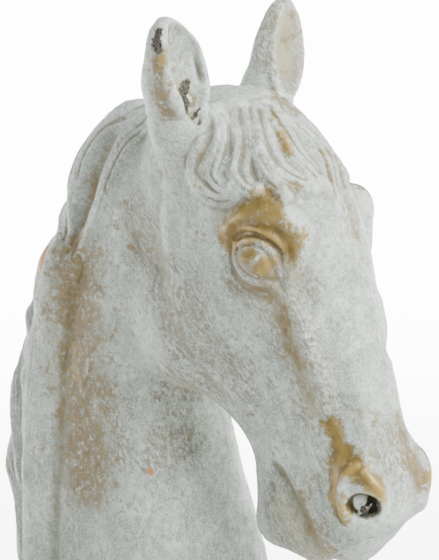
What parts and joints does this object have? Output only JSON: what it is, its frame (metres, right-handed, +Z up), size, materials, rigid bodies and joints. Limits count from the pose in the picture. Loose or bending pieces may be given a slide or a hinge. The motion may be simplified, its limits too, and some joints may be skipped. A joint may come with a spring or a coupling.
{
  "type": "giant chess piece",
  "caption": "Garden-size chess knight: a hollow cast horse's head and neck with separate ears, clamped to a round moulded plinth weighted with sand.",
  "frame": {"origin": "centre of the rubber pad under the plinth, on the ground", "axes": "+Z up, +X the way the horse faces, +Y the horse's left"},
  "size_m": [0.4668, 0.34, 0.6915],
  "materials": {
    "painted_ceramic": "thin weathered white wash over gold paint on terracotta",
    "zinc_steel": "dull zinc plate",
    "brass": "dull turned brass",
    "black_rubber": "matt moulded rubber",
    "sand": "dry sand"
  },
  "bodies": {
    "statue": {"head_casting": "painted_ceramic", "right_ear": "painted_ceramic", "left_ear": "painted_ceramic", "right_ear_dowel": "zinc_steel", "left_ear_dowel": "zinc_steel", "neck_gasket": "black_rubber", "toggle_bar": "zinc_steel", "tie_rod": "zinc_steel", "upper_washer": "zinc_steel", "upper_nut": "zinc_steel", "lower_washer": "zinc_steel", "lower_nut": "zinc_steel", "plinth_casting": "painted_ceramic", "filler_sleeve": "brass", "sand_ballast": "sand", "base_plate": "zinc_steel", "base_pad": "black_rubber", "base_screw_1": "zinc_steel", "threaded_insert_1": "brass", "base_screw_2": "zinc_steel", "threaded_insert_2": "brass", "base_screw_3": "zinc_steel", "threaded_insert_3": "brass", "base_screw_4": "zinc_steel", "threaded_insert_4": "brass", "base_screw_5": "zinc_steel", "threaded_insert_5": "brass", "base_screw_6": "zinc_steel", "threaded_insert_6": "brass"},
    "bung": {"filler_bung": "black_rubber"}
  },
  "joints": [
    {"name": "bung_pull", "type": "slide", "parent": "statue", "child": "bung", "axis": [-1, 0, 0], "range_m": [0, 0.045]}
  ]
}
